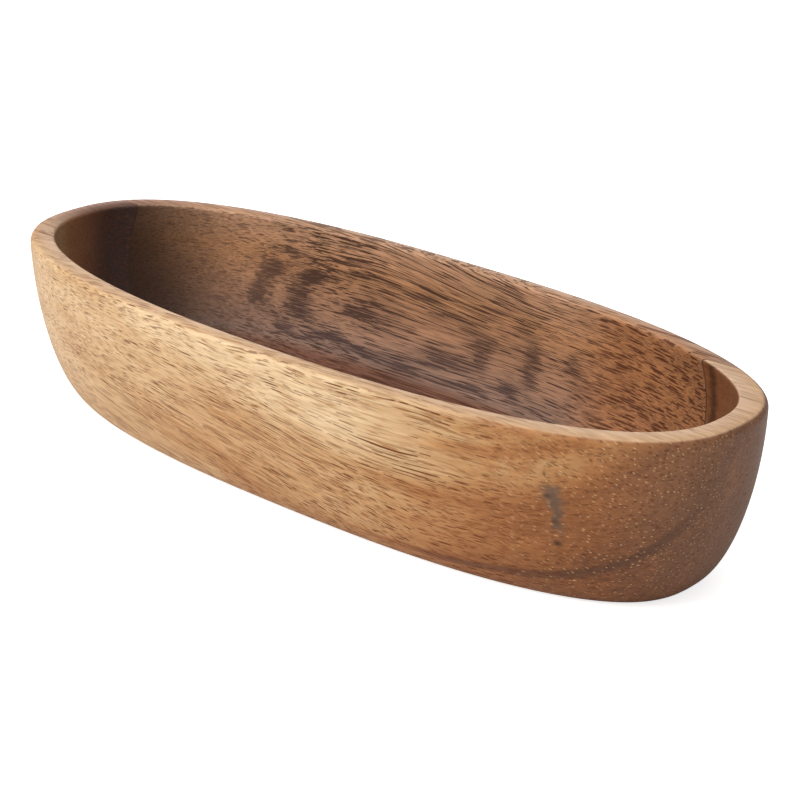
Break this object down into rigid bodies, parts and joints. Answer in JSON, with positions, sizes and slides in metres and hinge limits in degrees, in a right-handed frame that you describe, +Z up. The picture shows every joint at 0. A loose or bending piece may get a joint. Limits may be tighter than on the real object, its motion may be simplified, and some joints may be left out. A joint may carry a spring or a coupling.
{
  "type": "serving tray",
  "caption": "Deep, long oval wooden serving tray, carved from edge-glued boards, with bulging walls, a flat rim, a hollow with a flat floor, and a flat foot.",
  "frame": {"origin": "middle of the flat foot, on the surface that the tray stands on", "axes": "+X along the tray's length, +Y across it towards the back board, +Z up out of the hollow"},
  "size_m": [0.3, 0.112, 0.06],
  "materials": {
    "front_wood": "oiled acacia, pale sapwood turning to brown heartwood at one end, satin",
    "back_wood": "oiled acacia heartwood with dark pores and growth rings, satin",
    "glue": "hardened wood glue, dark"
  },
  "bodies": {
    "root": {"front_board": "front_wood", "back_board": "back_wood", "glue_line": "glue"}
  },
  "joints": []
}
